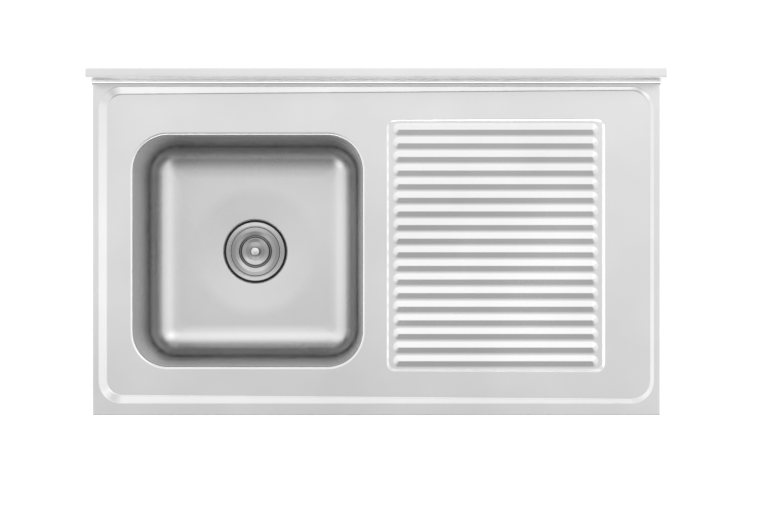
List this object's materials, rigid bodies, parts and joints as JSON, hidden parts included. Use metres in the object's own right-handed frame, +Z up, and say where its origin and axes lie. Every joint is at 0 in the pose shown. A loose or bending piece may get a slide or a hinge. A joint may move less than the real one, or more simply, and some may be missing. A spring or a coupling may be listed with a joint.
{
  "type": "kitchen sink with drainboard",
  "caption": "Pressed stainless steel lay-on kitchen sink: square bowl at the left with lidded strainer waste, ribbed drainboard at the right, raised rim and wall upstand.",
  "frame": {"origin": "middle of the plane in which the sink rests on its cabinet, halfway along its length and its depth", "axes": "+X to the right along the wall, +Y from the user to the wall, +Z up"},
  "size_m": [1, 0.605, 0.4647],
  "materials": {
    "satin_steel": "fine satin stainless steel, pressed",
    "bowl_steel": "satin stainless steel, deep drawn",
    "mill_steel": "plain mill finish stainless steel",
    "galvanised": "zinc-plated sheet steel",
    "sound_pad": "matt bitumen sound-deadening sheet",
    "waste_steel": "turned stainless steel",
    "lid_steel": "stainless steel brushed in circles",
    "polished_steel": "polished stainless steel",
    "black_rubber": "smooth black rubber",
    "white_plastic": "moulded white polypropylene"
  },
  "bodies": {
    "sink": {"deck": "satin_steel", "bowl": "bowl_steel", "upstand_cap_left": "satin_steel", "upstand_cap_right": "satin_steel", "rear_apron": "mill_steel", "stiffener_left": "galvanised", "stiffener_middle": "galvanised", "stiffener_right": "galvanised", "sound_pad_right": "sound_pad", "sound_pad_rear": "sound_pad", "sound_pad_left": "sound_pad", "sound_pad_front": "sound_pad", "sound_pad_floor": "sound_pad", "bracket_left_front": "galvanised", "bracket_left_rear": "galvanised", "bracket_right_front": "galvanised", "bracket_right_rear": "galvanised", "waste_cup": "waste_steel", "flange_gasket": "black_rubber", "under_gasket": "black_rubber", "slip_washer": "white_plastic", "lock_nut": "white_plastic", "tail_washer": "black_rubber", "tailpiece": "white_plastic", "coupling_nut": "white_plastic"},
    "basket": {"strainer_basket": "waste_steel", "basket_post": "polished_steel", "basket_stopper": "black_rubber", "stopper_nut": "polished_steel"},
    "cover": {"lid": "lid_steel", "lid_knob": "polished_steel", "lid_screw": "polished_steel"}
  },
  "joints": [
    {"name": "basket_lift", "type": "slide", "parent": "sink", "child": "basket", "axis": [0, 0, 1], "range_m": [0, 0.28]},
    {"name": "lid_lift", "type": "slide", "parent": "basket", "child": "cover", "axis": [0, 0, 1], "range_m": [0, 0.24]}
  ]
}
